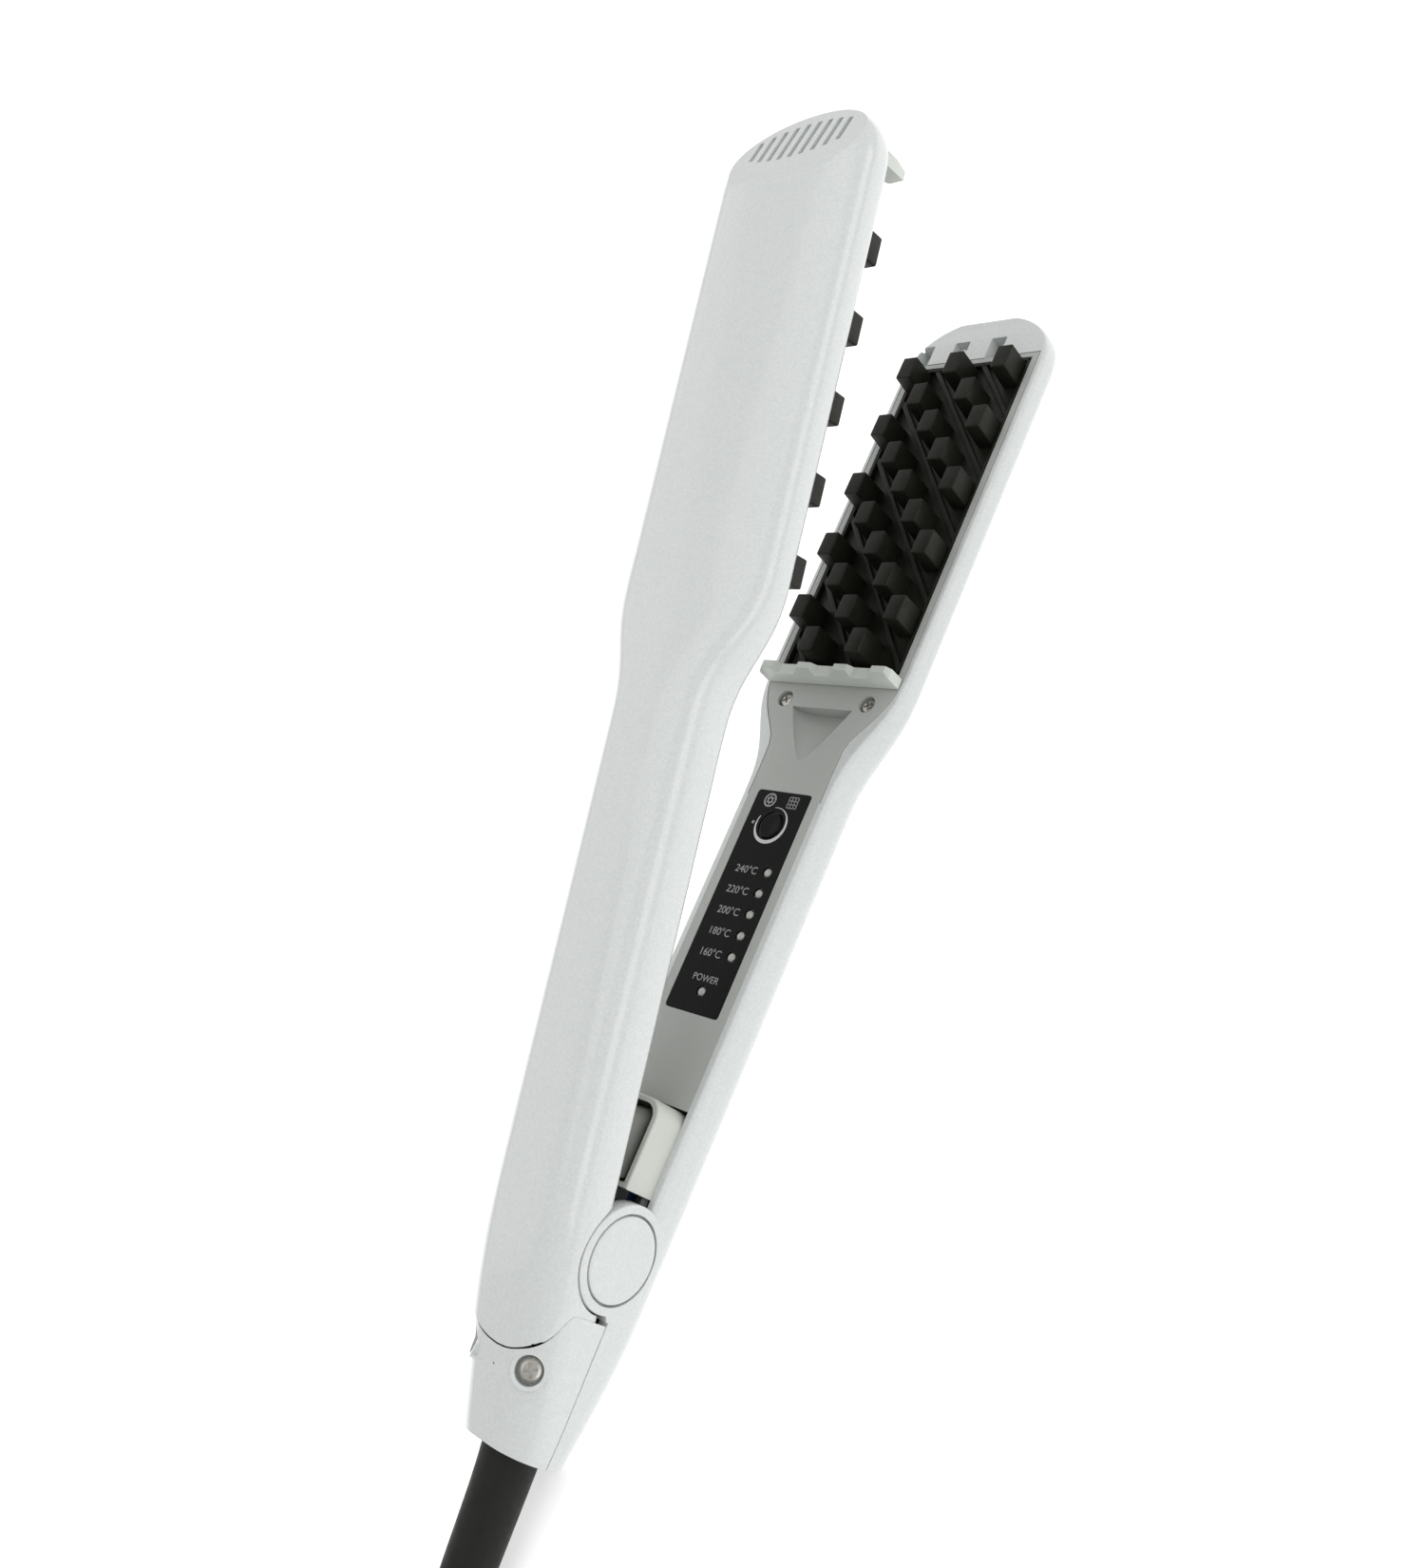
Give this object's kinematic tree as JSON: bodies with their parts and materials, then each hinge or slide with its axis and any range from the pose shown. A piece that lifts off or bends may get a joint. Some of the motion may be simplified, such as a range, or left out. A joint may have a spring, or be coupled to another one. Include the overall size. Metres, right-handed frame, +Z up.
{
  "type": "hair crimper",
  "caption": "Hair crimper with two hinged arms, interlocking block teeth, a lit temperature scale and a cord.",
  "frame": {"origin": "on the table under the middle of the crimper, measured without its cord", "axes": "+X along the arms towards the tips, +Y across the arms, +Z up"},
  "size_m": [0.4979, 0.0568, 0.0895],
  "materials": {
    "shell_grey": "glossy moulded",
    "panel_grey": "fine matt",
    "comb_grey": "satin",
    "plate_black": "fine matt black moulding",
    "cup_grey": "satin",
    "black_gloss": "glossy film",
    "lamp_clear": "diffusing clear plastic",
    "cord_black": "fine matt",
    "screw_steel": "bright turned",
    "pin_steel": "turned",
    "contact_brass": "nickelled",
    "ceramic_cream": "fired",
    "mica_brown": "layered",
    "board_green": "solder mask",
    "wire_brown": "insulation",
    "wire_blue": "insulation"
  },
  "bodies": {
    "lower_arm": {"circuit_board": "board_green", "cord_clamp": "lamp_clear", "cord_end": "cord_black", "cord_hank": "cord_black", "display_label": "black_gloss", "hank_tie": "cord_black", "hinge_cap_far": "shell_grey", "hinge_cap_near": "shell_grey", "hinge_pin": "pin_steel", "hinge_washer_far": "pin_steel", "hinge_washer_near": "pin_steel", "led_160": "lamp_clear", "led_180": "lamp_clear", "led_200": "lamp_clear", "led_220": "lamp_clear", "led_240": "lamp_clear", "led_power": "lamp_clear", "lower_comb": "comb_grey", "lower_heater": "ceramic_cream", "lower_insulator": "mica_brown", "lower_panel": "panel_grey", "lower_plate": "plate_black", "lower_screw_far": "screw_steel", "lower_screw_near": "screw_steel", "lower_shell": "shell_grey", "mains_wire_blue": "wire_blue", "mains_wire_brown": "wire_brown", "opening_spring": "pin_steel", "plug_body": "cord_black", "plug_pin_far": "contact_brass", "plug_pin_near": "contact_brass", "power_cord": "cord_black", "spring_box": "comb_grey", "strain_relief": "cord_black", "tact_switch": "cord_black", "tail_cover": "shell_grey", "tail_screw_far": "screw_steel", "tail_screw_near": "screw_steel", "thermal_fuse": "contact_brass"},
    "upper_arm": {"upper_shell": "shell_grey", "upper_panel": "panel_grey", "upper_screw_near": "screw_steel", "upper_screw_far": "screw_steel", "upper_plate": "plate_black", "upper_heater": "ceramic_cream", "upper_insulator": "mica_brown", "upper_comb": "comb_grey", "upper_knuckle": "panel_grey", "spring_cup": "cup_grey"},
    "power_button": {"power_button": "black_gloss"}
  },
  "joints": [
    {"name": "arm_hinge", "type": "hinge", "parent": "lower_arm", "child": "upper_arm", "pos_m": [-0.0765, 0, 0.016], "axis": [0, -1, 0], "range_deg": [-15.2, 0], "stiffness_Nm_per_rad": 0.8, "springref_deg": 28.65, "deforming": ["opening_spring"]},
    {"name": "button_press", "type": "slide", "parent": "lower_arm", "child": "power_button", "axis": [0, 0, -1], "range_m": [0, 0.0005], "stiffness_N_per_m": 800, "springref_m": -0.0005}
  ]
}
